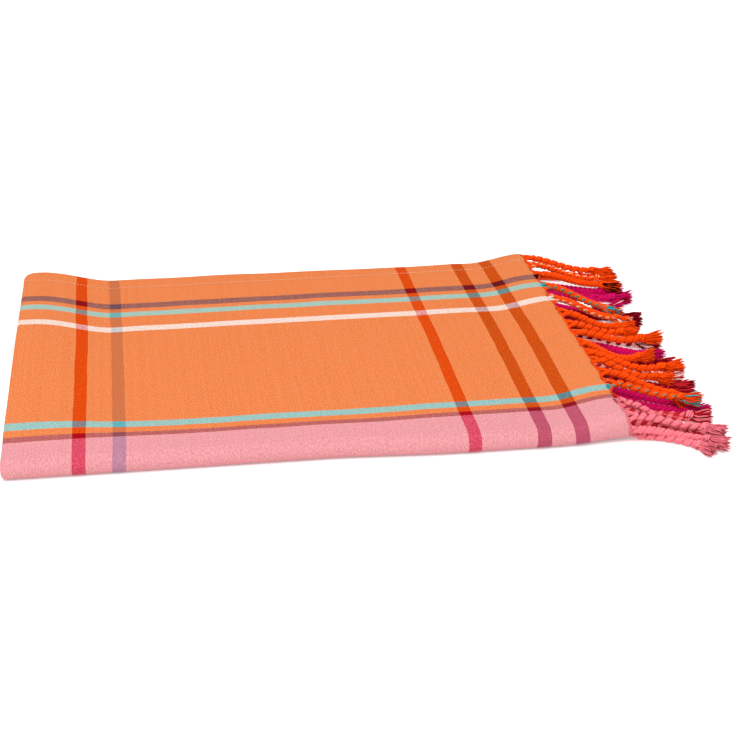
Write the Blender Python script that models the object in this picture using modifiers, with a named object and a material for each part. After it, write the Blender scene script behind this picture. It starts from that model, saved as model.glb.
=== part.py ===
"""A cotton hammam towel, folded and laid flat, with a fringe of twisted cords at each end.

It is one woven sheet. It is folded in three along its length, with the far end tucked inside, and
then in half across its width, so six plies lie on each other. +X runs along the warp, from the left
fold to the fringed end; +Y runs from the front fold to the hemmed back edge; +Z is up.
"""

import math

import bmesh
import bpy
from mathutils import Vector

# Driving sizes, in metres.
TOWEL_WIDTH = 0.900
CLOTH_LENGTH = 1.580
CLOTH_THICKNESS = 0.0018
STACK_HEIGHT = 0.0205
PLIES = 6
FRINGE_LENGTH = 0.100
TASSEL_PITCH = 0.036
EDGE_GAP = 0.0004
BACKING_WIDTH = 0.003

# The folded outline, in the frame in which the towel was measured.
LEFT_FOLD_X = -0.3565
FRINGED_END_X = 0.2225
INNER_FOLD_SETBACK = 0.020
BACK_EDGE_Y = 0.284
FRONT_CENTRE_Y = -0.149

# The ply pitch, the middle of the lowest ply, and the middle and radius of the outer front fold.
PITCH = (STACK_HEIGHT - CLOTH_THICKNESS) / (PLIES - 1)
LOWEST_Z = CLOTH_THICKNESS / 2
MIDDLE_Z = STACK_HEIGHT / 2
OUTER_RADIUS = STACK_HEIGHT / 2 - CLOTH_THICKNESS / 2

# The middle of the folded towel from front to back, and half its depth.
MIDDLE_Y = (BACK_EDGE_Y + FRONT_CENTRE_Y - OUTER_RADIUS) / 2
HALF_DEPTH = BACK_EDGE_Y - MIDDLE_Y

# The turns of the fold in three: two pitches high on the left, one pitch high on the right.
LEFT_RADIUS = PITCH
RIGHT_RADIUS = PITCH / 2
LEFT_CENTRE_X = LEFT_FOLD_X + CLOTH_THICKNESS / 2 + LEFT_RADIUS
RIGHT_CENTRE_X = FRINGED_END_X - INNER_FOLD_SETBACK - RIGHT_RADIUS

# The main unevenness: how large each form is, and the places from which and to which it comes in.
LEFT_ROLL_FRONT = 0.0065
LEFT_ROLL_FRONT_Y = (-0.135, -0.085)
LEFT_ROLL_BACK = 0.0145
LEFT_ROLL_BACK_Y = (-0.090, 0.120)
LEFT_ROLL_END_X = (-0.340, -0.252)
RIGHT_RISE = 0.009
RIGHT_RISE_X = (0.1585, 0.2225)
BACK_DROOP = 0.0025
BACK_DROOP_LEFT = 0.3
BACK_DROOP_X = (-0.150, 0.120)
BACK_DROOP_Y = (0.260, 0.290)
FRONT_BULGE = 0.007
FRONT_BULGE_X = (-0.070, 0.070)
FRONT_BULGE_END_X = (0.150, 0.300)
LOWER_REACH = 0.0065
LOWER_REACH_X = (0.120, 0.2225)
LEFT_SKEW = 0.0025
LEFT_SKEW_END_X = (-0.357, -0.207)
CORNER_LIFT = 0.003
CORNER_LIFT_X = (0.1585, 0.2225)
CORNER_LIFT_Y = (-0.150, -0.100)
CREASE_DEPTH = 0.0016
CREASE_WIDTH = 0.011
CREASE_THROUGH = (0.130, 0.022)
CREASE_SLOPE = 0.30
CREASE_X = (0.060, 0.150)

# Panels along the warp, from the fringed end: (name, length, steps). Turns are half circles.
TOP_PANEL = (("rise", 0.064, 6), ("field", 0.417, 10), ("roll", None, 7))
MIDDLE_PANEL = (("roll", 0.100, 5), ("field", 0.360, 5), ("rise", None, 5))
INNER_PANEL = (("rise", 0.060, 3), ("field", None, 6))
LEFT_TURN_STEPS = 6
RIGHT_TURN_STEPS = 4

# Rows across the towel, from the back hem of the upper half: (zone, share of it, steps).
UPPER, TURN, LOWER = "upper half", "front turn", "lower half"
ROWS = (
    (UPPER, 0.06, 3),
    (UPPER, 0.84, 9),
    (UPPER, 0.10, 3),
    (TURN, 1.00, 8),
    (LOWER, 0.12, 3),
    (LOWER, 0.88, 6),
)

# A cord of the fringe: (name, share of its length, radius).
CORD = (
    ("root", 0.00, 0.0018),
    ("gathered", 0.08, 0.0026),
    ("twist", 0.18, 0.0033),
    ("twist", 0.31, 0.0033),
    ("twist", 0.44, 0.0033),
    ("twist", 0.57, 0.0033),
    ("twist", 0.70, 0.0033),
    ("knot", 0.75, 0.0044),
    ("knot", 0.81, 0.0044),
    ("neck", 0.85, 0.0034),
    ("tuft", 1.00, 0.0050),
)
CORD_SIDES_RESOLUTION = 0
PRESSED_RADIUS = 0.0023
FLOOR_CLEARANCE = 0.0002
LANDED_SHARE = 0.62
LEAST_FORWARD = 0.3

# The cords of the upper half and the front turn, from the hem forward: (place across the cloth,
# sideways travel half way, travel at the tip, length, height that it comes to rest at).
UPPER_CORDS = (
    (0.016, -0.014, -0.041, 0.106, 0.0135),
    (0.040, -0.010, -0.036, 0.106, 0.0105),
    (0.073, 0.004, -0.024, 0.106, 0.0105),
    (0.106, -0.022, -0.070, 0.106, 0.0105),
    (0.144, -0.019, -0.057, 0.102, 0.0105),
    (0.187, -0.007, -0.025, 0.084, 0.0105),
    (0.220, 0.005, -0.005, 0.082, 0.0105),
    (0.240, 0.002, 0.003, 0.101, 0.0105),
    (0.267, -0.016, -0.015, 0.084, 0.0105),
    (0.293, -0.017, -0.018, 0.104, 0.0105),
    (0.312, -0.014, -0.030, 0.088, 0.0105),
    (0.344, -0.013, -0.055, 0.102, 0.0105),
    (0.368, -0.017, -0.041, 0.096, 0.0165),
    (0.416, -0.009, -0.043, 0.100, 0.0035),
    (0.443, 0.003, -0.024, 0.102, 0.0095),
    (0.453, -0.005, -0.033, 0.097, 0.0030),
    (0.464, -0.014, -0.047, 0.086, 0.0),
)

# The lower half's cords lie on the floor and are evenly set, from the front turn backward:
# (sideways travel half way, travel at the tip, length).
LOWER_FIRST = 0.490
LOWER_PITCH = 0.0285
LOWER_CORDS = (
    (-0.011, -0.038, 0.086),
    (-0.017, -0.030, 0.094),
    (-0.030, -0.053, 0.104),
    (-0.034, -0.062, 0.106),
    (-0.031, -0.054, 0.107),
    (-0.033, -0.052, 0.106),
    (-0.028, -0.050, 0.104),
    (-0.029, -0.062, 0.104),
    (-0.030, -0.053, 0.107),
    (-0.021, -0.048, 0.092),
    (-0.019, -0.041, 0.102),
    (-0.030, -0.027, 0.096),
    (-0.020, -0.035, 0.106),
    (-0.026, -0.046, 0.104),
    (-0.009, -0.035, 0.104),
)


def smooth(span, value):
    """0 before a span (from, to), 1 after it, and a soft step between."""
    share = min(1.0, max(0.0, (value - span[0]) / (span[1] - span[0])))
    return share * share * (3 - 2 * share)


# ---- the fold ----------------------------------------------------------------------------------


def panel_steps(panel, length):
    """The step lengths of a panel, whose open row takes the rest of the panel's length."""
    known = sum(row_length for _, row_length, _ in panel if row_length)
    steps = []
    for _, row_length, count in panel:
        steps += [(row_length or length - known) / count] * count
    return steps


TOP_RUN = FRINGED_END_X - LEFT_CENTRE_X
MIDDLE_RUN = RIGHT_CENTRE_X - LEFT_CENTRE_X
LEFT_TURN = math.pi * LEFT_RADIUS
RIGHT_TURN = math.pi * RIGHT_RADIUS
INNER_RUN = CLOTH_LENGTH - TOP_RUN - LEFT_TURN - MIDDLE_RUN - RIGHT_TURN


def warp_stations():
    """Distances from the fringed end along the warp, close together where the cloth turns."""
    steps = panel_steps(TOP_PANEL, TOP_RUN)
    steps += [LEFT_TURN / LEFT_TURN_STEPS] * LEFT_TURN_STEPS
    steps += panel_steps(MIDDLE_PANEL, MIDDLE_RUN)
    steps += [RIGHT_TURN / RIGHT_TURN_STEPS] * RIGHT_TURN_STEPS
    steps += panel_steps(INNER_PANEL, INNER_RUN)
    stations = [0.0]
    for step in steps:
        stations.append(stations[-1] + step)
    return stations


def row_stations():
    """(zone, share of the zone) for each row of points across the towel."""
    stations = [(UPPER, 0.0)]
    reached = {UPPER: 0.0, TURN: 0.0, LOWER: 0.0}
    for zone, share, count in ROWS:
        for _ in range(count):
            reached[zone] += share / count
            stations.append((zone, min(1.0, reached[zone])))
    return stations


def fold_in_three(along):
    """Where a distance along the warp lies after the first fold: (x, plies in from the outer face)."""
    if along <= TOP_RUN:
        return FRINGED_END_X - along, 0.0
    along -= TOP_RUN
    if along <= LEFT_TURN:
        turned = along / LEFT_RADIUS
        return LEFT_CENTRE_X - LEFT_RADIUS * math.sin(turned), 1 - math.cos(turned)
    along -= LEFT_TURN
    if along <= MIDDLE_RUN:
        return LEFT_CENTRE_X + along, 2.0
    along -= MIDDLE_RUN
    if along <= RIGHT_TURN:
        turned = along / RIGHT_RADIUS
        return RIGHT_CENTRE_X + RIGHT_RADIUS * math.sin(turned), 1.5 + math.cos(turned) / 2
    return RIGHT_CENTRE_X - (along - RIGHT_TURN), 1.0


def front_centre(x):
    """The line about which the towel turns at its front, which bulges forward on the right."""
    return FRONT_CENTRE_Y - FRONT_BULGE * smooth(FRONT_BULGE_X, x) * (1 - smooth(FRONT_BULGE_END_X, x))


def fold_in_half(x, plies_in, zone, share):
    """(y, z) of a point in a zone of the second fold, which turns about the front line."""
    centre = front_centre(x)
    radius = OUTER_RADIUS - plies_in * PITCH
    upper_run = BACK_EDGE_Y - centre + (OUTER_RADIUS - radius) * math.pi / 2
    lower_run = TOWEL_WIDTH - upper_run - math.pi * radius
    if zone == UPPER:
        return centre + upper_run * (1 - share), MIDDLE_Z + radius
    if zone == TURN:
        angle = math.pi * share
        return centre - radius * math.sin(angle), MIDDLE_Z + radius * math.cos(angle)
    return centre + lower_run * share, MIDDLE_Z - radius


def zone_at(x, plies_in, across):
    """(zone, share of it) of a distance across the towel from the upper half's hem."""
    radius = OUTER_RADIUS - plies_in * PITCH
    upper_run = BACK_EDGE_Y - front_centre(x) + (OUTER_RADIUS - radius) * math.pi / 2
    turn_run = math.pi * radius
    if across <= upper_run:
        return UPPER, across / upper_run
    if across <= upper_run + turn_run:
        return TURN, (across - upper_run) / turn_run
    return LOWER, (across - upper_run - turn_run) / (TOWEL_WIDTH - upper_run - turn_run)


# ---- how the folded towel settles --------------------------------------------------------------


def crease(x, y):
    """A soft trough that runs in from the fringed end."""
    off_line = y - CREASE_THROUGH[1] - CREASE_SLOPE * (x - CREASE_THROUGH[0])
    return -CREASE_DEPTH * smooth(CREASE_X, x) * math.exp(-((off_line / CREASE_WIDTH) ** 2))


def top_lift(x, y):
    """How far the top ply stands above an even stack."""
    roll = LEFT_ROLL_FRONT * smooth(LEFT_ROLL_FRONT_Y, y)
    roll += (LEFT_ROLL_BACK - LEFT_ROLL_FRONT) * smooth(LEFT_ROLL_BACK_Y, y)
    roll *= 1 - smooth(LEFT_ROLL_END_X, x)
    droop = BACK_DROOP * (BACK_DROOP_LEFT + (1 - BACK_DROOP_LEFT) * smooth(BACK_DROOP_X, x))
    droop *= smooth(BACK_DROOP_Y, y)
    return roll + RIGHT_RISE * smooth(RIGHT_RISE_X, x) - droop + crease(x, y)


def settle(x, y, z):
    """A point of the even stack, moved to where it lies in the settled towel."""
    height = (z - LOWEST_Z) / (STACK_HEIGHT - CLOTH_THICKNESS)
    corner = CORNER_LIFT * smooth(CORNER_LIFT_X, x) * (1 - smooth(CORNER_LIFT_Y, y))
    from_middle = (y - MIDDLE_Y) / HALF_DEPTH
    reach = LOWER_REACH * smooth(LOWER_REACH_X, x) * (1 - height)
    skew = LEFT_SKEW * (1 - smooth(LEFT_SKEW_END_X, x)) * from_middle
    return Vector((x + reach + skew, y, z + top_lift(x, y) * height + corner * (1 - height)))


def cloth_point(along, zone, share):
    x, plies_in = fold_in_three(along)
    y, z = fold_in_half(x, plies_in, zone, share)
    return settle(x, y, z)


def thread_point(along, across):
    """The settled place of a point given by its distances along and across the flat towel."""
    x, plies_in = fold_in_three(along)
    return cloth_point(along, *zone_at(x, plies_in, across))


# ---- making the pieces ---------------------------------------------------------------------------


def clear_scene():
    for thing in list(bpy.data.objects):
        bpy.data.objects.remove(thing)


def new_collection(name):
    collection = bpy.data.collections.new(name)
    bpy.context.scene.collection.children.link(collection)
    return collection


def cotton(name, colour):
    material = bpy.data.materials.new(name)
    material.use_nodes = True
    shader = material.node_tree.nodes["Principled BSDF"]
    shader.inputs["Base Color"].default_value = (*colour, 1.0)
    shader.inputs["Roughness"].default_value = 0.9
    shader.inputs["Metallic"].default_value = 0.0
    return material


def sheet(name, stations, rows, material, collection):
    """A strip of the towel between warp stations, folded, settled and given its thickness."""
    mesh = bpy.data.meshes.new(name)
    grid = bmesh.new()
    columns, lines = len(stations) - 1, len(rows) - 1
    bmesh.ops.create_grid(grid, x_segments=columns, y_segments=lines, size=0.5)
    for vertex in grid.verts:
        column = round((vertex.co.x + 0.5) * columns)
        line = round((vertex.co.y + 0.5) * lines)
        vertex.co = cloth_point(stations[column], *rows[line])
    bmesh.ops.recalc_face_normals(grid, faces=grid.faces)
    grid.to_mesh(mesh)
    grid.free()
    mesh.materials.append(material)
    piece = bpy.data.objects.new(name, mesh)
    collection.objects.link(piece)
    thickness = piece.modifiers.new("thickness", "SOLIDIFY")
    thickness.thickness = CLOTH_THICKNESS
    thickness.offset = 0.0
    thickness.use_even_offset = True
    return piece


def cords_object(name, cords, collection):
    """One closed mesh of all the given cords, each a list of (point, radius)."""
    curve = bpy.data.curves.new(name, "CURVE")
    curve.dimensions = "3D"
    curve.bevel_depth = 1.0
    curve.bevel_resolution = CORD_SIDES_RESOLUTION
    curve.use_fill_caps = True
    for cord in cords:
        spline = curve.splines.new("POLY")
        spline.points.add(len(cord) - 1)
        for point, (place, radius) in zip(spline.points, cord):
            point.co = (*place, 1.0)
            point.radius = radius
    guide = bpy.data.objects.new(name + "_curve", curve)
    collection.objects.link(guide)
    bpy.context.view_layer.update()
    graph = bpy.context.evaluated_depsgraph_get()
    mesh = bpy.data.meshes.new_from_object(guide.evaluated_get(graph))
    bpy.data.objects.remove(guide)
    capped = bmesh.new()
    capped.from_mesh(mesh)
    bmesh.ops.remove_doubles(capped, verts=capped.verts, dist=0.00002)
    bmesh.ops.recalc_face_normals(capped, faces=capped.faces)
    capped.to_mesh(mesh)
    capped.free()
    piece = bpy.data.objects.new(name, mesh)
    collection.objects.link(piece)
    piece.hide_render = True
    piece.display_type = "WIRE"
    return piece


def fuse(backing, cords):
    join = backing.modifiers.new("cord roots", "BOOLEAN")
    join.operation = "UNION"
    join.solver = "EXACT"
    join.object = cords


def cord_path(root, half_way, tip, length, rest):
    """A cord that leaves the cloth along the warp, droops and comes to rest: [(point, radius)]."""
    points = []
    x, before = root.x, None
    for _, share, radius in CORD:
        landed = smooth((0.0, LANDED_SHARE), share)
        y = root.y + 4 * half_way * share * (1 - share) + tip * share * (2 * share - 1)
        z = max(root.z + (rest + radius - root.z) * landed, radius + FLOOR_CLEARANCE)
        if before:
            run = (share - before[0]) * length
            forward = run ** 2 - (y - before[1]) ** 2 - (z - before[2]) ** 2
            x += math.sqrt(max(forward, (LEAST_FORWARD * run) ** 2))
        points.append((Vector((x, y, z)), radius))
        before = (share, y, z)
    return points


def lower_cords():
    """Rows like those of UPPER_CORDS for the lower half."""
    return [
        (LOWER_FIRST + LOWER_PITCH * number, half_way, tip, length, 0.0)
        for number, (half_way, tip, length) in enumerate(LOWER_CORDS)
    ]


def outer_cords():
    root_along = -EDGE_GAP - BACKING_WIDTH / 2
    return [
        cord_path(thread_point(root_along, across), half_way, tip, length, rest)
        for across, half_way, tip, length, rest in (*UPPER_CORDS, *lower_cords())
    ]


def inner_cords():
    """The far end's cords, which lie flat between the outer and the middle panels."""
    start = CLOTH_LENGTH + EDGE_GAP + BACKING_WIDTH / 2
    count = round(TOWEL_WIDTH / TASSEL_PITCH)
    cords = []
    for number in range(count):
        across = (number + 0.5) * TASSEL_PITCH
        cord = [
            (thread_point(start + share * FRINGE_LENGTH, across), min(radius, PRESSED_RADIUS))
            for _, share, radius in CORD
        ]
        cords.append(cord)
    return cords


def centre_on_floor(pieces):
    """Moves the towel so that the middle of its footprint is the origin and it stands at z 0."""
    bpy.context.view_layer.update()
    graph = bpy.context.evaluated_depsgraph_get()
    corners = [
        piece.matrix_world @ Vector(corner)
        for piece in pieces
        for corner in piece.evaluated_get(graph).bound_box
    ]
    low = Vector(min(corner[axis] for corner in corners) for axis in range(3))
    high = Vector(max(corner[axis] for corner in corners) for axis in range(3))
    middle = (low + high) / 2
    for thing in bpy.data.objects:
        if thing.parent is None:
            thing.location -= Vector((middle.x, middle.y, low.z))


def build():
    clear_scene()
    towel = new_collection("hammam_towel")
    helpers = new_collection("cord_guides")
    orange = cotton("orange_cotton", (0.90, 0.32, 0.08))
    cord_red = cotton("fringe_cotton", (0.85, 0.14, 0.02))
    rows = row_stations()
    cloth = sheet("towel_cloth", warp_stations(), rows, orange, towel)
    outer_edge = [-EDGE_GAP - BACKING_WIDTH, -EDGE_GAP]
    fringe = sheet("outer_fringe", outer_edge, rows, cord_red, towel)
    fuse(fringe, cords_object("outer_cords", outer_cords(), helpers))
    inner_edge = [CLOTH_LENGTH + EDGE_GAP, CLOTH_LENGTH + EDGE_GAP + BACKING_WIDTH]
    inner_fringe = sheet("inner_fringe", inner_edge, rows, cord_red, towel)
    fuse(inner_fringe, cords_object("inner_cords", inner_cords(), helpers))
    centre_on_floor([cloth, fringe, inner_fringe])


build()
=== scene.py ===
# %% [markdown]
# # A folded hammam towel
#
# A hammam towel is one thin sheet of plain-woven cotton. Its stripes are dyed yarns, so they run right
# through the cloth, and at both ends the warp is left long, twisted into cords and knotted. This lesson
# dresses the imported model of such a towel, folded in three and then in half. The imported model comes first
# and stays fixed. Everything else is placed in its frame, in metres.

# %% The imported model
import math
import random

import bmesh
import bpy
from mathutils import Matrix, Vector, noise


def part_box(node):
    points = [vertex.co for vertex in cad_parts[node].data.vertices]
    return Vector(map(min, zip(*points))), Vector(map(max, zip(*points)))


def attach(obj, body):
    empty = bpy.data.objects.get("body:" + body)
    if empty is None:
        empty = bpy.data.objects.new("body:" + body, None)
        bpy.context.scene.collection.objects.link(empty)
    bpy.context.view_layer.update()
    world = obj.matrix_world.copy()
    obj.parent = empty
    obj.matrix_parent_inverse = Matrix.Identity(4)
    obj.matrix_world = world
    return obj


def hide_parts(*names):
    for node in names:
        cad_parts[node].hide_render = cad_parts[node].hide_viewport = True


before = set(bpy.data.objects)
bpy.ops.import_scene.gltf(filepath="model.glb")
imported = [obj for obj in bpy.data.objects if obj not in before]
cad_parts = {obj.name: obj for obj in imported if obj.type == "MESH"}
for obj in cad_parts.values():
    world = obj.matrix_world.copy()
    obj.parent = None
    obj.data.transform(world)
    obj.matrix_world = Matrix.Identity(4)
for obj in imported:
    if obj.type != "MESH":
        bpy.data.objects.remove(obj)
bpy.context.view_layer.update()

# %% [markdown]
# ## The fold
#
# The cloth could be draped by simulation, but a towel that a hand has folded has crisp, known folds. So
# each point of the flat towel is folded by plain geometry: once along its length into three, then across
# its width in half. A point is named by two distances in metres: along the warp from the fringed end, and
# across it from the hem that lies on top. The sizes are those of the solids.

# %% Sizes of the towel
TOWEL_WIDTH = 0.900
CLOTH_LENGTH = 1.580
PLY_THICKNESS = 0.0018
STACK_HEIGHT = 0.0205
PLIES = 6
LEFT_FOLD_X = -0.3565
FRINGED_END_X = 0.2225
INNER_FOLD_SETBACK = 0.020
BACK_EDGE_Y = 0.284
FRONT_CENTRE_Y = -0.149

PITCH = (STACK_HEIGHT - PLY_THICKNESS) / (PLIES - 1)
LOWEST_Z = PLY_THICKNESS / 2
MIDDLE_Z = STACK_HEIGHT / 2
OUTER_RADIUS = STACK_HEIGHT / 2 - PLY_THICKNESS / 2
MIDDLE_Y = (BACK_EDGE_Y + FRONT_CENTRE_Y - OUTER_RADIUS) / 2
HALF_DEPTH = BACK_EDGE_Y - MIDDLE_Y
LEFT_RADIUS = PITCH
RIGHT_RADIUS = PITCH / 2
LEFT_CENTRE_X = LEFT_FOLD_X + PLY_THICKNESS / 2 + LEFT_RADIUS
RIGHT_CENTRE_X = FRINGED_END_X - INNER_FOLD_SETBACK - RIGHT_RADIUS
TOP_RUN = FRINGED_END_X - LEFT_CENTRE_X
MIDDLE_RUN = RIGHT_CENTRE_X - LEFT_CENTRE_X
LEFT_TURN = math.pi * LEFT_RADIUS
RIGHT_TURN = math.pi * RIGHT_RADIUS
INNER_RUN = CLOTH_LENGTH - TOP_RUN - LEFT_TURN - MIDDLE_RUN - RIGHT_TURN
print(f"panels along the warp: {TOP_RUN:.3f}, {MIDDLE_RUN:.3f} and {INNER_RUN:.3f} m")


# %% Folding a point in three and then in half
def smooth(span, value):
    """0 before a span (from, to), 1 after it, and a soft step between."""
    share = min(1.0, max(0.0, (value - span[0]) / (span[1] - span[0])))
    return share * share * (3 - 2 * share)


def fold_in_three(along):
    """Where a distance along the warp lies after the first fold: (x, plies in from the outer face)."""
    if along <= TOP_RUN:
        return FRINGED_END_X - along, 0.0
    along -= TOP_RUN
    if along <= LEFT_TURN:
        turned = along / LEFT_RADIUS
        return LEFT_CENTRE_X - LEFT_RADIUS * math.sin(turned), 1 - math.cos(turned)
    along -= LEFT_TURN
    if along <= MIDDLE_RUN:
        return LEFT_CENTRE_X + along, 2.0
    along -= MIDDLE_RUN
    if along <= RIGHT_TURN:
        turned = along / RIGHT_RADIUS
        return RIGHT_CENTRE_X + RIGHT_RADIUS * math.sin(turned), 1.5 + math.cos(turned) / 2
    return RIGHT_CENTRE_X - (along - RIGHT_TURN), 1.0


FRONT_BULGE = 0.007
FRONT_BULGE_X = (-0.070, 0.070)
FRONT_BULGE_END_X = (0.150, 0.300)


def front_centre(x):
    """The line about which the towel turns at its front, which bulges forward on the right."""
    return FRONT_CENTRE_Y - FRONT_BULGE * smooth(FRONT_BULGE_X, x) * (1 - smooth(FRONT_BULGE_END_X, x))


def zone_runs(x, plies_in):
    """The lengths of the upper half, the front turn and the lower half, and the turn's radius."""
    radius = OUTER_RADIUS - plies_in * PITCH
    upper = BACK_EDGE_Y - front_centre(x) + (OUTER_RADIUS - radius) * math.pi / 2
    turn = math.pi * radius
    return upper, turn, TOWEL_WIDTH - upper - turn, radius


def fold_in_half(x, plies_in, across):
    """(y, z, way out of the stack) of a distance across the towel, in the even stack."""
    upper, turn, _, radius = zone_runs(x, plies_in)
    centre = front_centre(x)
    if across <= upper:
        return centre + upper - across, MIDDLE_Z + radius, Vector((0, 0, 1))
    if across <= upper + turn:
        angle = (across - upper) / radius
        out = Vector((0, -math.sin(angle), math.cos(angle)))
        return centre - radius * math.sin(angle), MIDDLE_Z + radius * math.cos(angle), out
    return centre + across - upper - turn, MIDDLE_Z - radius, Vector((0, 0, -1))


print(f"the tucked-in end of the cloth lies at x = {fold_in_three(CLOTH_LENGTH)[0]:.3f} m")

# %% [markdown]
# ## How it settles
#
# Cloth that is put down by hand isn't even. Here the left fold rolls up towards the back, the top ply
# rises at the fringed end, where the lower plies reach out further, the back edge droops, and the front
# bulges. A low mound stands near the front left corner, a shallow crease crosses the right part, and the
# back left corner is rounded. Each form is one number and the span over which it comes in, so that it can
# be turned up or down alone. A fine ripple on top of these comes from a noise, the same on each run.

# %% The forms of the settled towel
LEFT_ROLL_FRONT = 0.0065
LEFT_ROLL_FRONT_Y = (-0.135, -0.085)
LEFT_ROLL_BACK = 0.0145
LEFT_ROLL_BACK_Y = (-0.090, 0.120)
LEFT_ROLL_END_X = (-0.340, -0.252)
RIGHT_RISE = 0.009
RIGHT_RISE_X = (0.1585, 0.2225)
BACK_DROOP = 0.0025
BACK_DROOP_LEFT = 0.3
BACK_DROOP_X = (-0.150, 0.120)
BACK_DROOP_Y = (0.260, 0.290)
LOWER_REACH = 0.0065
LOWER_REACH_X = (0.120, 0.2225)
LEFT_SKEW = 0.0025
LEFT_SKEW_END_X = (-0.357, -0.207)
CORNER_LIFT = 0.003
CORNER_LIFT_X = (0.1585, 0.2225)
CORNER_LIFT_Y = (-0.150, -0.100)
CREASE_DEPTH = 0.0016
CREASE_WIDTH = 0.011
CREASE_THROUGH = (0.130, 0.022)
CREASE_SLOPE = 0.30
CREASE_X = (0.060, 0.150)
MOUND = 0.0028
MOUND_AT = (-0.285, -0.095)
MOUND_WIDTH = (0.040, 0.028)
CORNER_RADIUS = 0.011
CORNER_ROUNDING_X = (-0.357, -0.322)

cloth_low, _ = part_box("towel_cloth")
SHIFT = Vector((
    cloth_low.x - (LEFT_FOLD_X - LEFT_SKEW),
    cloth_low.y - (FRONT_CENTRE_Y - FRONT_BULGE - STACK_HEIGHT / 2),
    0.0,
))
print(f"the measured frame moves by {SHIFT.x * 1000:.2f} and {SHIFT.y * 1000:.2f} mm to the solids' frame")


def top_lift(x, y):
    """How far the top ply stands above an even stack."""
    roll = LEFT_ROLL_FRONT * smooth(LEFT_ROLL_FRONT_Y, y)
    roll += (LEFT_ROLL_BACK - LEFT_ROLL_FRONT) * smooth(LEFT_ROLL_BACK_Y, y)
    roll *= 1 - smooth(LEFT_ROLL_END_X, x)
    droop = BACK_DROOP * (BACK_DROOP_LEFT + (1 - BACK_DROOP_LEFT) * smooth(BACK_DROOP_X, x))
    droop *= smooth(BACK_DROOP_Y, y)
    off_crease = y - CREASE_THROUGH[1] - CREASE_SLOPE * (x - CREASE_THROUGH[0])
    crease = CREASE_DEPTH * smooth(CREASE_X, x) * math.exp(-((off_crease / CREASE_WIDTH) ** 2))
    off_mound = ((x - MOUND_AT[0]) / MOUND_WIDTH[0]) ** 2 + ((y - MOUND_AT[1]) / MOUND_WIDTH[1]) ** 2
    mound = MOUND * math.exp(-off_mound)
    return roll + RIGHT_RISE * smooth(RIGHT_RISE_X, x) - droop - crease + mound


def settle(x, y, z):
    """A point of the even stack, moved to where it lies in the settled towel, in the solids' frame."""
    height = (z - LOWEST_Z) / (STACK_HEIGHT - PLY_THICKNESS)
    corner = CORNER_LIFT * smooth(CORNER_LIFT_X, x) * (1 - smooth(CORNER_LIFT_Y, y))
    from_middle = (y - MIDDLE_Y) / HALF_DEPTH
    reach = LOWER_REACH * smooth(LOWER_REACH_X, x) * (1 - height)
    skew = LEFT_SKEW * (1 - smooth(LEFT_SKEW_END_X, x)) * from_middle
    into_corner = min(CORNER_RADIUS, max(0.0, y - BACK_EDGE_Y + CORNER_RADIUS))
    rounding = CORNER_RADIUS - math.sqrt(CORNER_RADIUS ** 2 - into_corner ** 2)
    rounding *= 1 - smooth(CORNER_ROUNDING_X, x)
    lifted = z + top_lift(x, y) * height + corner * (1 - height)
    return Vector((x + reach + skew + rounding, y, lifted)) + SHIFT


# %% The fine ripple
RIPPLE = 0.0007
END_RIPPLE = 0.0006
END_RIPPLE_RUN = (0.0, 0.16)
RIPPLE_WIDTH = 0.055
RIPPLE_STRETCH = 0.6
RIPPLE_FADE = 0.035
RIPPLE_SEED = 3.7
TURNS = (TOP_RUN, TOP_RUN + LEFT_TURN, CLOTH_LENGTH - INNER_RUN - RIGHT_TURN, CLOTH_LENGTH - INNER_RUN)


def ripple(along, across, plies_in, down):
    """How far a point stands out of its ply. The ply on the floor and the folds stay as they are."""
    if down and plies_in < 0.5:
        return 0.0
    calm = min(1.0, min(abs(along - turn) for turn in TURNS) / RIPPLE_FADE)
    size = RIPPLE + END_RIPPLE * (1 - smooth(END_RIPPLE_RUN, along))
    place = Vector((along / RIPPLE_WIDTH, RIPPLE_STRETCH * across / RIPPLE_WIDTH, RIPPLE_SEED))
    wave = noise.noise(place)
    return size * calm * wave


def thread_point(along, across, out_by=0.0):
    """The settled place of a point of the flat towel, moved out of the stack by out_by."""
    x, plies_in = fold_in_three(along)
    y, z, out = fold_in_half(x, plies_in, across)
    place = settle(x, y, z)
    return place + out * (out_by + ripple(along, across, plies_in, out.z < 0))


print("the middle of the top ply is at", [round(c, 4) for c in thread_point(0.28, 0.22)])

# %% [markdown]
# ## Camera, floor and light
#
# The camera stands where the stripes' crossings say that it stood: low, a little to the left, with a
# long lens. The studio is a white room, so a white world lights the towel from all sides, one large soft
# lamp high in front of it gives its folds their shape, and the floor is a white sheet that glows a
# little, as on a light table, which keeps the shadows pale.

# %% Camera
LENS_MM = 81.31
SENSOR_MM = 36.0
CAMERA_AZIMUTH = math.radians(-8.258)
CAMERA_ELEVATION = math.radians(24.3626)
CAMERA_DISTANCE = 1.6856
CAMERA_TARGET = Vector((0.0, 0.0, 0.0205)) + SHIFT

scene = bpy.context.scene
lens = bpy.data.cameras.new("studio_camera")
lens.lens = LENS_MM
lens.sensor_width = SENSOR_MM
lens.clip_start = 0.05
lens.clip_end = 100.0
camera = bpy.data.objects.new("studio_camera", lens)
scene.collection.objects.link(camera)
level = CAMERA_DISTANCE * math.cos(CAMERA_ELEVATION)
camera.location = CAMERA_TARGET + Vector((
    level * math.sin(CAMERA_AZIMUTH),
    -level * math.cos(CAMERA_AZIMUTH),
    CAMERA_DISTANCE * math.sin(CAMERA_ELEVATION),
))
camera.rotation_euler = (CAMERA_TARGET - camera.location).to_track_quat("-Z", "Y").to_euler()
scene.camera = camera
print("the camera stands at", [round(c, 3) for c in camera.location])

# %% Nodes are placed with one short helper
Socket = bpy.types.NodeSocket


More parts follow.
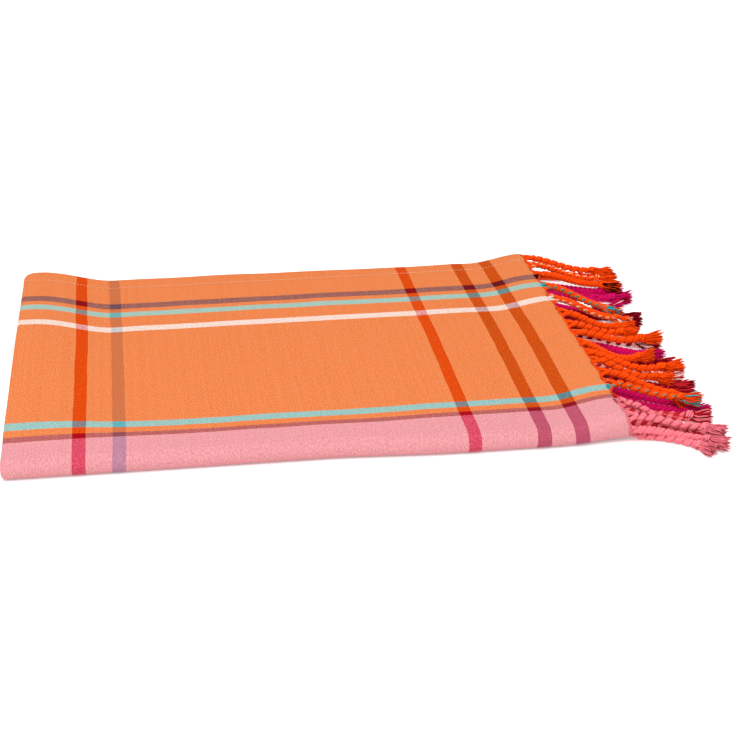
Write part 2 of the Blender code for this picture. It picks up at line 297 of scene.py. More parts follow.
def add_node(tree, kind, inputs, **settings):
    """A node whose inputs are given as plain values or as the sockets that feed them."""
    node = tree.nodes.new(kind)
    for name, value in settings.items():
        setattr(node, name, value)
    for key, value in inputs.items():
        if isinstance(value, Socket):
            tree.links.new(value, node.inputs[key])
        else:
            node.inputs[key].default_value = value
    return node


def new_material(name):
    material = bpy.data.materials.new(name)
    material.use_nodes = True
    return material, material.node_tree, material.node_tree.nodes["Principled BSDF"]


print("a value of type", Socket.__name__, "is linked to its input, and any other value is set there")

# %% Floor, world and lamp
PURE_WHITE = (1.0, 1.0, 1.0, 1.0)
FLOOR_SIDE = 16.0
FLOOR_WHITENESS = 0.92
FLOOR_ROUGHNESS = 0.9
FLOOR_GLOW = 0.18
WORLD_STRENGTH = 1.04
LAMP_PLACE = Vector((-0.5, -1.3, 2.5))
LAMP_SIDE = 1.6
LAMP_WATTS = 48.0


def make_floor():
    mesh = bpy.data.meshes.new("floor")
    sheet = bmesh.new()
    bmesh.ops.create_grid(sheet, x_segments=1, y_segments=1, size=FLOOR_SIDE / 2)
    sheet.to_mesh(mesh)
    sheet.free()
    floor = bpy.data.objects.new("floor", mesh)
    scene.collection.objects.link(floor)
    material, _, shader = new_material("white_floor")
    shader.inputs["Base Color"].default_value = (FLOOR_WHITENESS, FLOOR_WHITENESS, FLOOR_WHITENESS, 1.0)
    shader.inputs["Roughness"].default_value = FLOOR_ROUGHNESS
    shader.inputs["Emission Color"].default_value = PURE_WHITE
    shader.inputs["Emission Strength"].default_value = FLOOR_GLOW
    mesh.materials.append(material)
    return floor


def light_the_room():
    world = bpy.data.worlds.new("white_room")
    scene.world = world
    world.use_nodes = True
    background = world.node_tree.nodes["Background"]
    background.inputs["Color"].default_value = PURE_WHITE
    background.inputs["Strength"].default_value = WORLD_STRENGTH
    lamp = bpy.data.lights.new("soft_lamp", "AREA")
    lamp.size = LAMP_SIDE
    lamp.energy = LAMP_WATTS
    lamp_object = bpy.data.objects.new("soft_lamp", lamp)
    lamp_object.location = LAMP_PLACE
    lamp_object.rotation_euler = (CAMERA_TARGET - LAMP_PLACE).to_track_quat("-Z", "Y").to_euler()
    scene.collection.objects.link(lamp_object)
    scene.view_settings.view_transform = "Standard"


floor = make_floor()
light_the_room()
print("a floor", FLOOR_SIDE, "m wide and a lamp at", tuple(LAMP_PLACE))

# %% [markdown]
# ## The weaver's plan
#
# A weaver writes down the colours of the warp, which lies along the towel, and of the weft, which
# crosses it. Every colour on the cloth is then one of them over the other: a scarlet weft is orange-red
# where it crosses orange, and rose where it crosses pink. So the plan names dyed yarns only, as a screen
# shows them, from 0 to 255, and the crossings follow. The cords of the fringe are the same warp, but
# outside the cloth, with no weft between them, some yarns look paler or duller and have a second colour.

# %% Dyed yarns and the order in which they lie
YARNS = {
    "orange": (240, 102, 0),
    "aubergine": (76, 4, 24),
    "turquoise": (52, 212, 210),
    "aqua": (0, 206, 216),
    "white": (255, 255, 252),
    "burgundy": (140, 4, 36),
    "rose": (227, 124, 164),
    "magenta": (224, 30, 120),
    "crimson": (196, 56, 64),
    "maroon": (146, 18, 48),
    "blush": (250, 206, 204),
    "salmon": (255, 192, 166),
    "scarlet": (216, 14, 6),
    "slate": (158, 146, 152),
    "wine": (158, 38, 38),
}
LOOSE_YARNS = {
    "orange": (241, 97, 30), "rose": (233, 137, 148), "magenta": (208, 34, 112),
    "turquoise": (70, 178, 184), "aqua": (70, 178, 184), "white": (240, 226, 214),
    "burgundy": (190, 40, 44), "blush": (246, 196, 190),
}
FULL_COVER = {"orange": 0.66, "aubergine": 0.60, "burgundy": 0.60}
HALF_COVER = 0.5

# Bands as (yarn, where it ends): for the warp from the hem that lies on top, for the weft from the end.
WARP_PLAN = (
    ("orange", 0.0733), ("aubergine", 0.0871), ("orange", 0.0978), ("turquoise", 0.1106),
    ("orange", 0.1393), ("white", 0.1525), ("orange", 0.3734), ("aqua", 0.3862), ("orange", 0.3959),
    ("burgundy", 0.4047), ("rose", 0.4900), ("crimson", 0.5160), ("rose", 0.5250), ("crimson", 0.5328),
    ("magenta", 0.5898), ("maroon", 0.6040), ("crimson", 0.6290), ("blush", 0.6400), ("crimson", 0.6468),
    ("maroon", 0.6610), ("crimson", 0.6753), ("magenta", 0.7038), ("blush", 0.7180), ("maroon", 0.7480),
    ("crimson", 0.7608), ("maroon", 0.7893), ("magenta", 0.8040), ("blush", 0.8080), ("magenta", 0.8400),
    ("maroon", 0.8463), ("magenta", 0.8748), ("crimson", 0.8900), ("orange", 0.9000),
)
WEFT_PLAN = (
    ("salmon", 0.0350), ("wine", 0.0483), ("salmon", 0.0712), ("wine", 0.0844), ("salmon", 0.1387),
    ("scarlet", 0.1505), ("salmon", 0.4689), ("slate", 0.4809), ("salmon", 0.5042), ("scarlet", 0.5169),
    ("salmon", 1.0631), ("scarlet", 1.0758), ("salmon", 1.0991), ("slate", 1.1111), ("salmon", 1.4295),
    ("scarlet", 1.4413), ("salmon", 1.4956), ("wine", 1.5088), ("salmon", 1.5317), ("wine", 1.5450),
    ("salmon", 1.5800),
)


def yarn_colour(name, loose=False):
    """A yarn's colour as a screen codes it, from 0 to 1, with an alpha. Some differ outside the cloth."""
    coded = LOOSE_YARNS.get(name, YARNS[name]) if loose else YARNS[name]
    return (*(channel / 255 for channel in coded), 1.0)


def warp_yarn(across):
    """The name of the warp yarn at a distance across the towel."""
    for name, end in WARP_PLAN:
        if across <= end:
            return name
    return WARP_PLAN[-1][0]


print(len(WARP_PLAN), "warp bands and", len(WEFT_PLAN), "weft bands of", len(YARNS), "yarns")

# %% [markdown]
# ## Effects that several finishes share
#
# Three small node groups serve the cloth, its stitches and the cords. One lays out a plain weave, in
# which each thread goes over one and under the next. One gives each yarn its own tone and its slubs, the
# soft thick places of spun cotton. One is the fuzz of loose fibres that all cotton has. They put out
# masks and values only, and the shader stays in each material.

# %% Groups for the weave, the yarn's tone and the fuzz
FLOAT, VECTOR = "NodeSocketFloat", "NodeSocketVector"
OWN_TONE = 0.2
MEAN_TONE = 0.6
THREAD_STEP = 0.73


def new_group(name, inputs, outputs):
    """A shader node group with float or vector sockets, its input node and its output node."""
    group = bpy.data.node_groups.new(name, "ShaderNodeTree")
    for label, kind in inputs.items():
        group.interface.new_socket(label, in_out="INPUT", socket_type=kind)
    for label, kind in outputs.items():
        group.interface.new_socket(label, in_out="OUTPUT", socket_type=kind)
    return group, group.nodes.new("NodeGroupInput"), group.nodes.new("NodeGroupOutput")


def maths(tree, operation, first, second=0.0, third=0.0):
    return add_node(tree, "ShaderNodeMath", {0: first, 1: second, 2: third}, operation=operation).outputs[0]


def plain_weave_group():
    """Which thread is on top at a crossing, how far it stands up, and the numbers of both threads."""
    group, given, made = new_group(
        "plain_weave",
        {"Along": FLOAT, "Across": FLOAT, "Thread pitch": FLOAT},
        {"Warp on top": FLOAT, "Crown": FLOAT, "Warp thread": FLOAT, "Weft thread": FLOAT},
    )
    threads = []
    crowns = []
    for label in ("Across", "Along"):
        counted = maths(group, "DIVIDE", given.outputs[label], given.outputs["Thread pitch"])
        threads.append(maths(group, "FLOOR", counted))
        within = maths(group, "FRACT", counted)
        crowns.append(maths(group, "SINE", maths(group, "MULTIPLY", within, math.pi)))
    parity = maths(group, "FLOORED_MODULO", maths(group, "ADD", threads[0], threads[1]), 2.0)
    group.links.new(parity, made.inputs["Warp on top"])
    group.links.new(maths(group, "MULTIPLY", crowns[0], crowns[1]), made.inputs["Crown"])
    group.links.new(threads[0], made.inputs["Warp thread"])
    group.links.new(threads[1], made.inputs["Weft thread"])
    return group


def yarn_tone_group():
    """A tone about 0: one value for each yarn, and slubs that are long along it."""
    group, given, made = new_group(
        "yarn_tone",
        {"Thread": FLOAT, "Place": FLOAT, "Slubs per metre": FLOAT},
        {"Tone": FLOAT},
    )
    own = add_node(group, "ShaderNodeTexWhiteNoise", {"W": given.outputs["Thread"]}, noise_dimensions="1D")
    stretched = maths(group, "MULTIPLY", given.outputs["Place"], given.outputs["Slubs per metre"])
    beside = maths(group, "MULTIPLY", given.outputs["Thread"], THREAD_STEP)
    where = add_node(group, "ShaderNodeCombineXYZ", {"X": stretched, "Y": beside})
    slubs = add_node(
        group, "ShaderNodeTexNoise",
        {"Vector": where.outputs[0], "Scale": 1.0, "Detail": 2.0},
        noise_dimensions="2D",
    )
    own_tone = maths(group, "MULTIPLY", own.outputs["Value"], OWN_TONE)
    both = maths(group, "ADD", own_tone, slubs.outputs["Fac"])
    group.links.new(maths(group, "SUBTRACT", both, MEAN_TONE), made.inputs["Tone"])
    return group


def fuzz_group():
    """A fine, uneven noise for the ends of fibres that stand off the yarn."""
    group, given, made = new_group(
        "cotton_fuzz", {"Vector": VECTOR, "Fibres per metre": FLOAT}, {"Fuzz": FLOAT}
    )
    fibres = add_node(
        group, "ShaderNodeTexNoise",
        {"Vector": given.outputs["Vector"], "Scale": given.outputs["Fibres per metre"], "Detail": 3.0,
         "Roughness": 0.7, "Distortion": 0.6},
    )
    group.links.new(fibres.outputs["Fac"], made.inputs["Fuzz"])
    return group


PLAIN_WEAVE = plain_weave_group()
YARN_TONE = yarn_tone_group()
COTTON_FUZZ = fuzz_group()
print("node groups:", [group.name for group in bpy.data.node_groups])

# %% Short helpers for groups, vectors, fuzz and relief
COTTON_SPECULAR = 0.04


def group_node(tree, group, inputs):
    return add_node(tree, "ShaderNodeGroup", inputs, node_tree=group).outputs


def vector_maths(tree, operation, inputs):
    return add_node(tree, "ShaderNodeVectorMath", inputs, operation=operation).outputs[0]


def loose_fibres(tree, fibres_per_metre):
    """The fuzz on a piece, laid out in the piece's own coordinates."""
    place = tree.nodes.new("ShaderNodeTexCoord").outputs["Object"]
    return group_node(tree, COTTON_FUZZ, {"Vector": place, "Fibres per metre": fibres_per_metre})["Fuzz"]


def soft_relief(tree, shader, height, strength, depth):
    """Relief that is too fine to model, on cotton, which hardly shines."""
    bump = add_node(tree, "ShaderNodeBump", {"Strength": strength, "Distance": depth, "Height": height})
    tree.links.new(bump.outputs[0], shader.inputs["Normal"])
    shader.inputs["Specular IOR Level"].default_value = COTTON_SPECULAR


print("cotton's specular level is", COTTON_SPECULAR)

# %% [markdown]
# ## The cloth's finish
#
# A stripe of colour could be painted on, but then its edge would be a ruled line. Here each point asks
# which warp thread and which weft thread cross there, takes their yarns from the weaver's plan, and
# shows more of the one on top. Where the warp is set closer, it also covers more. The two colours are
# mixed as a screen codes them, which is how the eye blends fine threads, and only then turned into light
# with a Gamma node. A chain of Mix nodes holds each plan, since a colour ramp is too coarse for stripes
# this narrow. A last grain, drawn out across the warp, stands for the fine floats of the weave.

# %% Yarns and cover from the weaver's plan
def mix(tree, factor, first, second):
    """A Mix node for colours. Inputs 6 and 7 are its two colours, and output 2 its result."""
    return add_node(tree, "ShaderNodeMix", {0: factor, 6: first, 7: second}, data_type="RGBA").outputs[2]


def planned_yarn(tree, plan, place):
    """The yarn at a place, as a chain in which each band paints over those before it."""
    colour = yarn_colour(plan[0][0])
    for (_, start), (name, _) in zip(plan, plan[1:]):
        beyond = maths(tree, "GREATER_THAN", place, start)
        colour = mix(tree, beyond, colour, yarn_colour(name))
    return colour


def planned_cover(tree, plan, place):
    """How much of the surface the warp covers, since some stripes are set closer than others."""
    covers = [(FULL_COVER.get(name, HALF_COVER), end) for name, end in plan]
    cover = maths(tree, "ADD", covers[0][0], 0.0)
    for (before, start), (after, _) in zip(covers, covers[1:]):
        if after != before:
            beyond = maths(tree, "GREATER_THAN", place, start)
            cover = maths(tree, "MULTIPLY_ADD", beyond, after - before, cover)
    return cover


print("the warp of", ", ".join(FULL_COVER), "covers more than", HALF_COVER)

# %% Where each thread lies, and its tone
THREAD_PITCH = 0.00102
WANDER = 0.0010
WANDERS_PER_METRE = 22.0
WARP_SLUBS_PER_METRE = 260.0
WEFT_SLUBS_PER_METRE = 300.0


def wandering_place(tree, flat_map):
    """The distances along and across the flat towel, for threads that wander a little."""
    wander = add_node(
        tree, "ShaderNodeTexNoise", {"Vector": flat_map, "Scale": WANDERS_PER_METRE, "Detail": 2.0}
    )
    about_zero = vector_maths(tree, "SUBTRACT", {0: wander.outputs["Color"], 1: (0.5, 0.5, 0.5)})
    shift = vector_maths(tree, "SCALE", {0: about_zero, 3: WANDER * 2})
    moved = vector_maths(tree, "ADD", {0: flat_map, 1: shift})
    flat = add_node(tree, "ShaderNodeSeparateXYZ", {0: moved})
    return flat.outputs["X"], flat.outputs["Y"]


def thread_tones(tree, weave, along, across):
    """The tones of the warp thread and of the weft thread at a place."""
    tones = []
    for label, place, slubs in (
        ("Warp thread", along, WARP_SLUBS_PER_METRE),
        ("Weft thread", across, WEFT_SLUBS_PER_METRE),
    ):
        given = {"Thread": weave[label], "Place": place, "Slubs per metre": slubs}
        tones.append(group_node(tree, YARN_TONE, given)["Tone"])
    return tones


print(f"{1 / THREAD_PITCH:.0f} threads to the metre each way, thicker than real ones so that they show")

# %% Woven cotton
TOP_SHARE = 0.33
TONE_IN_SHARE = 0.22
TONE_IN_LEVEL = 0.05
GRAIN = 0.30
GRAINS_PER_METRE = 520.0
GRAIN_TONE = 0.38
GRAIN_STRETCH = (1.5, 0.8, 1.0)
SCREEN_GAMMA = 2.2
CLOTH_LEVEL = 0.838
CLOTH_FIBRES_PER_METRE = 2600.0
CLOTH_FUZZ_HEIGHT = 0.5
CLOTH_ROUGHNESS = 0.82
CLOTH_FUZZ_ROUGHNESS = 0.16


def woven_colour(tree, flat_map, weave, along, across):
    """The colour of each crossing, mixed as a screen codes it and then turned into light."""
    warp_place = maths(tree, "MULTIPLY", weave["Warp thread"], THREAD_PITCH)
    weft_place = maths(tree, "MULTIPLY", weave["Weft thread"], THREAD_PITCH)
    warp_tone, weft_tone = thread_tones(tree, weave, along, across)
    warp = planned_yarn(tree, WARP_PLAN, warp_place)
    weft = planned_yarn(tree, WEFT_PLAN, weft_place)
    grain = add_node(
        tree, "ShaderNodeTexNoise",
        {"Vector": vector_maths(tree, "MULTIPLY", {0: flat_map, 1: GRAIN_STRETCH}),
         "Scale": GRAINS_PER_METRE, "Detail": 2.0},
        noise_dimensions="2D",
    )
    grain_about_zero = maths(tree, "SUBTRACT", grain.outputs["Fac"], 0.5)
    tones_apart = maths(tree, "SUBTRACT", warp_tone, weft_tone)
    cover = maths(tree, "SUBTRACT", planned_cover(tree, WARP_PLAN, warp_place), TOP_SHARE)
    share = maths(tree, "MULTIPLY_ADD", weave["Warp on top"], 2 * TOP_SHARE, cover)
    share = maths(tree, "MULTIPLY_ADD", tones_apart, TONE_IN_SHARE, share)
    share = maths(tree, "MULTIPLY_ADD", grain_about_zero, GRAIN, share)
    both_tones = maths(tree, "ADD", warp_tone, weft_tone)
    level = maths(tree, "MULTIPLY_ADD", both_tones, TONE_IN_LEVEL, CLOTH_LEVEL)
    level = maths(tree, "MULTIPLY_ADD", grain_about_zero, GRAIN_TONE, level)
    toned = vector_maths(tree, "SCALE", {0: mix(tree, share, weft, warp), 3: level})
    return add_node(tree, "ShaderNodeGamma", {"Color": toned, "Gamma": SCREEN_GAMMA}).outputs[0]


def woven_cotton():
    material, tree, shader = new_material("woven_cotton")
    flat_map = add_node(tree, "ShaderNodeUVMap", {}, uv_map="flat_towel").outputs[0]
    along, across = wandering_place(tree, flat_map)
    weave = group_node(tree, PLAIN_WEAVE, {"Along": along, "Across": across, "Thread pitch": THREAD_PITCH})
    tree.links.new(woven_colour(tree, flat_map, weave, along, across), shader.inputs["Base Color"])
    fuzz = loose_fibres(tree, CLOTH_FIBRES_PER_METRE)
    roughness = maths(tree, "MULTIPLY_ADD", fuzz, CLOTH_FUZZ_ROUGHNESS, CLOTH_ROUGHNESS)
    tree.links.new(roughness, shader.inputs["Roughness"])
    height = maths(tree, "MULTIPLY_ADD", fuzz, CLOTH_FUZZ_HEIGHT, weave["Crown"])
    soft_relief(tree, shader, height, strength=0.55, depth=0.0003)
    return material


WOVEN_COTTON = woven_cotton()
print("the cloth's finish has", len(WOVEN_COTTON.node_tree.nodes), "nodes")

# %% [markdown]
# ## The cloth
#
# The sheet is one even grid, made flat and then folded point by point. Its columns stand closer together
# where the cloth turns. Each corner of a face keeps its two flat distances as a UV map, so that the weave
# stays in the cloth however it is folded. A Solidify modifier gives the thickness, and a vertex group
# makes the turned hems thicker than the single cloth, as three layers are.

# %% Stations along the warp and across it
# Runs of columns as (length, steps), from the end that shows to the one that is tucked in.
COLUMN_RUNS = (
    (0.004, 2), (0.060, 16), (0.417, 56), (TOP_RUN - 0.481, 24), (LEFT_TURN, 12), (0.100, 12),
    (MIDDLE_RUN - 0.160, 34), (0.060, 12), (RIGHT_TURN, 8), (0.060, 10), (INNER_RUN - 0.060, 32),
)
ROW_SHARES = ((0.027, 7), (0.033, 4), (0.84, 84), (0.10, 14))
TURN_ROWS = 16
LOWER_ROWS = ((0.12, 8), (0.88, 42))


def stations(runs):
    """Running distances for a list of (length, steps)."""
    reached = [0.0]
    for length, steps in runs:
        for _ in range(steps):
            reached.append(reached[-1] + length / steps)
    return reached


def row_places(x, plies_in):
    """Distances across the towel for each row, which keep to the folded form of this column."""
    upper, turn, lower, _ = zone_runs(x, plies_in)
    runs = [(share * upper, steps) for share, steps in ROW_SHARES]
    runs.append((turn, TURN_ROWS))
    runs += [(share * lower, steps) for share, steps in LOWER_ROWS]
    return stations(runs)


COLUMNS = stations(COLUMN_RUNS)
print(len(COLUMNS), "columns and", len(row_places(0.0, 0.0)), "rows")

# %% [markdown]
# ## Stripes that aren't ruled
#
# Washing and handling pull a weft stripe a few millimetres out of line, and the eye knows it at once as
# cloth. The sheet's points stay where they are. Only its flat map is shifted, by a small amount for each
# stripe at the back, the middle, the front and the front turn, with soft steps in between.

# %% How the stripes are pulled out of line
STRIPE_PULLS = (
    # place along the warp, then how far the stripe lies to the right at the back, middle, front and turn
    (0.0000, 0.0, 0.0, 0.0, 0.0),
    (0.0416, -0.0016, 0.0020, -0.0010, -0.0024),
    (0.0778, 0.0006, 0.0027, 0.0000, -0.0018),
    (0.1446, 0.0006, 0.0016, 0.0000, 0.0),
    (0.2935, 0.0, 0.0, 0.0, 0.0),
    (0.4749, -0.0006, 0.0018, 0.0024, 0.0),
    (0.5105, -0.0024, 0.0008, 0.0018, 0.0),
    (0.5735, 0.0, 0.0, 0.0, 0.0),
)
PULL_MIDDLE = 0.22
PULL_FRONT = 0.43
PULL_END = 0.48


def stripe_pull(along, across):
    """How far the weave lies to the right of its even place, on the panel that shows."""
    for (start, *first), (end, *second) in zip(STRIPE_PULLS, STRIPE_PULLS[1:]):
        if along <= end:
            back, middle, front, turn = [
                one + (other - one) * smooth((start, end), along) for one, other in zip(first, second)
            ]
            pull = back + (middle - back) * smooth((0.0, PULL_MIDDLE), across)
            pull += (front - middle) * smooth((PULL_MIDDLE, PULL_FRONT), across)
            return pull + (turn - pull) * smooth((PULL_FRONT, PULL_END), across)
    return 0.0


print(f"the first stripe lies {stripe_pull(0.0416, PULL_MIDDLE) * 1000:.1f} mm to the right in the middle")

# %% [markdown]
# ## The sheet and its edges
#
# The long edges are hems and keep their line. The ends are raw, and the weave is thinner there. At the
# end that shows, each tassel draws its own part of the edge in or out, by a millimetre or two.

# %% The folded sheet
VISIBLE_THICKNESS = 0.0021
SINGLE_SHARE = 0.62
HEM_WIDTH = 0.026
HEM_STEP = (0.0235, 0.0275)
RAW_END = 0.004
RAW_SHARE = 0.35
RAGGED = 0.0035
RAGGED_SEED = 0.5
RAGGED_WIDTH = 0.010
RAGGED_RUN = 0.012


def finish_mesh(sheet, name, material):
    """A bmesh made into an object that rides on the towel's one body."""
    mesh = bpy.data.meshes.new(name)
    sheet.to_mesh(mesh)
    sheet.free()
    mesh.materials.append(material)
    mesh.shade_smooth()
    piece = bpy.data.objects.new(name, mesh)
    scene.collection.objects.link(piece)
    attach(piece, "root")
    return piece


def ragged_end(along, across):
    """How far the raw end is drawn in or out, since each tassel pulls on its own part of it."""
    pulled = noise.noise(Vector((across / RAGGED_WIDTH, RAGGED_SEED, RIPPLE_SEED)))
    return Vector((RAGGED * pulled * (1 - smooth((0.0, RAGGED_RUN), along)), 0, 0))


def make_cloth():
    sheet = bmesh.new()
    row_count = len(row_places(0.0, 0.0)) - 1
    column_count = len(COLUMNS) - 1
    bmesh.ops.create_grid(sheet, x_segments=column_count, y_segments=row_count, size=0.5)
    flat_map = sheet.loops.layers.uv.new("flat_towel")
    groups = sheet.verts.layers.deform.new("thickness")
    flat = {}
    rows_of = {}
    for vertex in sheet.verts:
        column = round((vertex.co.x + 0.5) * column_count)
        row = round((vertex.co.y + 0.5) * row_count)
        along = COLUMNS[column]
        if column not in rows_of:
            rows_of[column] = row_places(*fold_in_three(along))
        across = min(TOWEL_WIDTH, rows_of[column][row])
        flat[vertex] = (along, across)
        in_hem = 1 - smooth(HEM_STEP, min(across, TOWEL_WIDTH - across))
        share = SINGLE_SHARE + (1 - SINGLE_SHARE) * in_hem
        raw = smooth((0.0, RAW_END), min(along, CLOTH_LENGTH - along))
        vertex[groups][0] = share * (RAW_SHARE + (1 - RAW_SHARE) * raw)
    for face in sheet.faces:
        for corner in face.loops:
            along, across = flat[corner.vert]
            corner[flat_map].uv = (along + stripe_pull(along, across), across)
    for vertex in sheet.verts:
        vertex.co = thread_point(*flat[vertex]) + ragged_end(*flat[vertex])
    bmesh.ops.recalc_face_normals(sheet, faces=sheet.faces)
    cloth = finish_mesh(sheet, "folded_cloth", WOVEN_COTTON)
    cloth.vertex_groups.new(name="thickness")
    thickness = cloth.modifiers.new("thickness", "SOLIDIFY")
    thickness.thickness = VISIBLE_THICKNESS
    thickness.offset = 0.0
    thickness.use_even_offset = True
    thickness.vertex_group = "thickness"
    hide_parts("towel_cloth")
    return cloth


cloth = make_cloth()
print("the cloth has", len(cloth.data.polygons), "faces before its thickness")

# %% [markdown]
# ## Tubes
#
# Stitches, plies, knots and loose yarns are all thin tubes along a path. Each starts as a small grid: its
# length runs along the path and its width goes once round it, and the seam is merged at the end. A path
# that begins and ends with radius 0 closes by itself. Every tube keeps its colour in an attribute and its
# fibre direction in a UV map.

# %% One tube along a path
UP = Vector((0, 0, 1))
SEAM = 0.000002
WHOLE_TURN = 2 * math.pi
NEARLY_UPRIGHT = 0.05
THIN_SIDES = 4


def new_yarns():
    """An empty bmesh with the layers that yarn needs: (mesh, UV layer, colour layer)."""
    mesh = bmesh.new()
    return mesh, mesh.loops.layers.uv.new("yarn_map"), mesh.loops.layers.float_color.new("yarn_colour")


def heading(points, index):
    """(forward, sideways, upward) of a path at one of its points."""
    before = points[max(0, index - 1)]
    after = points[min(len(points) - 1, index + 1)]
    forward = (after - before).normalized()
    sideways = forward.cross(UP)
    sideways = sideways.normalized() if sideways.length > NEARLY_UPRIGHT else Vector((0, -1, 0))
    return forward, sideways, sideways.cross(forward)


def tube(yarns, points, radii, sides, colours, twist=0.0):
    """Adds a tube. colours go round it, and twist is how many times they turn in each metre."""
    mesh, yarn_map, yarn_tint = yarns
    rings = len(points) - 1
    made = bmesh.ops.create_grid(mesh, x_segments=rings, y_segments=sides, size=0.5)["verts"]
    length = [0.0]
    for first, second in zip(points, points[1:]):
        length.append(length[-1] + (second - first).length)
    frames = [heading(points, index) for index in range(rings + 1)]
    where = {}
    for vertex in made:
        where[vertex] = (round((vertex.co.x + 0.5) * rings), round((vertex.co.y + 0.5) * sides))
    for face in {face for vertex in made for face in vertex.link_faces}:
        side = min(where[corner.vert][1] for corner in face.loops)
        tint = colours[side * len(colours) // sides]
        for corner in face.loops:
            ring, at_side = where[corner.vert]
            corner[yarn_map].uv = (at_side / sides, length[ring])
            corner[yarn_tint] = tint
    for vertex, (ring, side) in where.items():
        _, sideways, upward = frames[ring]
        angle = WHOLE_TURN * (side % sides / sides + twist * length[ring])
        way = sideways * math.cos(angle) + upward * math.sin(angle)
        vertex.co = points[ring] + way * radii[ring]


def finish_yarns(yarns, name, material):
    mesh = yarns[0]
    bmesh.ops.remove_doubles(mesh, verts=mesh.verts, dist=SEAM)
    bmesh.ops.recalc_face_normals(mesh, faces=mesh.faces)
    piece = finish_mesh(mesh, name, material)
    print(name, "has", sum(len(face.vertices) - 2 for face in piece.data.polygons), "triangles")
    return piece


print("a thin tube has", THIN_SIDES, "sides, and seams closer than", SEAM, "m are merged")

# %% [markdown]
# ## Twisted yarn
#
# The cords are spun cotton. Their colour comes from the attribute, each with a little of the yarns' own
# tone, and the fibres are fine ridges that run round the tube at a slant, broken up by the fuzz. Light
# that bounces between dyed fibres comes back deeper in colour, and that shade is painted into the colour:
# the Gamma that turns a screen's colour into light is higher than for the cloth, and highest in the grooves
# between the ridges. The ridges are also painted a little lighter and the grooves darker, as painted shade.

# %% The yarn's finish
FIBRE_RIDGES = 5.0
FIBRE_RIDGES_PER_METRE = 330.0
YARN_LEVEL = 1.02
# Painted shade: light trapped between the fibres deepens the cords' colour, most in the grooves, and the
# ridges are painted lighter than the grooves.
TRAPPED_LIGHT = 1.35
CREVICE_LIGHT = 0.45
YARN_SLUBS_PER_METRE = 140.0
YARN_FIBRES_PER_METRE = 1500.0
TONE_IN_YARN = 0.10
RIDGE_SHADE_IN_YARN = 0.12
RIDGE_HEIGHT = 0.5
YARN_ROUGHNESS = 0.78
YARN_FUZZ_ROUGHNESS = 0.20


def spun_cotton():
    material, tree, shader = new_material("spun_cotton")
    tint = add_node(tree, "ShaderNodeAttribute", {}, attribute_name="yarn_colour")
    yarn_map = add_node(tree, "ShaderNodeUVMap", {}, uv_map="yarn_map")
    flat = add_node(tree, "ShaderNodeSeparateXYZ", {0: yarn_map.outputs[0]})
    fuzz = loose_fibres(tree, YARN_FIBRES_PER_METRE)
    round_it = maths(tree, "MULTIPLY", flat.outputs["X"], FIBRE_RIDGES)
    slant = maths(tree, "MULTIPLY_ADD", flat.outputs["Y"], FIBRE_RIDGES_PER_METRE, round_it)
    ridge = maths(tree, "SINE", maths(tree, "MULTIPLY", slant, WHOLE_TURN))
    thread = {"Thread": maths(tree, "FLOOR", slant), "Place": flat.outputs["Y"]}
    tone = group_node(tree, YARN_TONE, {**thread, "Slubs per metre": YARN_SLUBS_PER_METRE})["Tone"]
    level = maths(tree, "MULTIPLY_ADD", tone, TONE_IN_YARN, YARN_LEVEL)
    # Painted shade: the ridges are painted lighter and the grooves between them darker.
    level = maths(tree, "MULTIPLY_ADD", ridge, RIDGE_SHADE_IN_YARN, level)
    toned = vector_maths(tree, "SCALE", {0: tint.outputs["Color"], 3: level})
    # Painted shade: a higher Gamma deepens the colour everywhere, and most in the grooves.
    deep = maths(tree, "MULTIPLY_ADD", ridge, -CREVICE_LIGHT, SCREEN_GAMMA * TRAPPED_LIGHT)
    light = add_node(tree, "ShaderNodeGamma", {"Color": toned, "Gamma": deep})
    tree.links.new(light.outputs[0], shader.inputs["Base Color"])
    roughness = maths(tree, "MULTIPLY_ADD", fuzz, YARN_FUZZ_ROUGHNESS, YARN_ROUGHNESS)
    tree.links.new(roughness, shader.inputs["Roughness"])
    height = maths(tree, "MULTIPLY_ADD", ridge, RIDGE_HEIGHT, fuzz)
    soft_relief(tree, shader, height, strength=0.7, depth=0.0005)
    return material


SPUN_COTTON = spun_cotton()
print("the yarn's finish has", len(SPUN_COTTON.node_tree.nodes), "nodes")

# %% [markdown]
# ## The hem's stitches
#
# Each long edge is turned in twice and sewn down by machine. From a step away the seam is a row of fine
# pale dashes. Each dash is a small capsule that stands a little proud of the cloth, in one joined mesh.

# %% Two rows of machine stitches
STITCH_PITCH = 0.0036
STITCH_LENGTH = 0.0017
STITCH_RADIUS = 0.0005
STITCH_TINT = (0.96, 0.86, 0.77, 1.0)
STITCH_PROFILE = ((0.0, 0.0), (0.15, 0.75), (0.5, 1.0), (0.85, 0.75), (1.0, 0.0))
STITCH_RISE = 0.3
BESIDE_ALONG = 0.0005
BESIDE_ACROSS = 0.001


def cloth_normal(along, across):
    """The way out of the settled cloth, from the points beside a place."""
    one = thread_point(along + BESIDE_ALONG, across) - thread_point(along - BESIDE_ALONG, across)
    other = thread_point(along, across + BESIDE_ACROSS) - thread_point(along, across - BESIDE_ACROSS)
    return one.cross(other).normalized()


def make_stitches():
    yarns = new_yarns()
    proud = VISIBLE_THICKNESS * (1 + SINGLE_SHARE) / 4 + STITCH_RADIUS * STITCH_RISE
    radii = [STITCH_RADIUS * share for _, share in STITCH_PROFILE]
    for across in (HEM_WIDTH, TOWEL_WIDTH - HEM_WIDTH):
        for number in range(int(CLOTH_LENGTH / STITCH_PITCH) - 1):
            start = (number + 0.5) * STITCH_PITCH
            points = []
            for share, _ in STITCH_PROFILE:
                along = start + share * STITCH_LENGTH
                points.append(thread_point(along, across) + cloth_normal(along, across) * proud)
            tube(yarns, points, radii, THIN_SIDES, [STITCH_TINT])
    stitches = finish_yarns(yarns, "hem_stitches", SPUN_COTTON)
    return stitches


stitches = make_stitches()

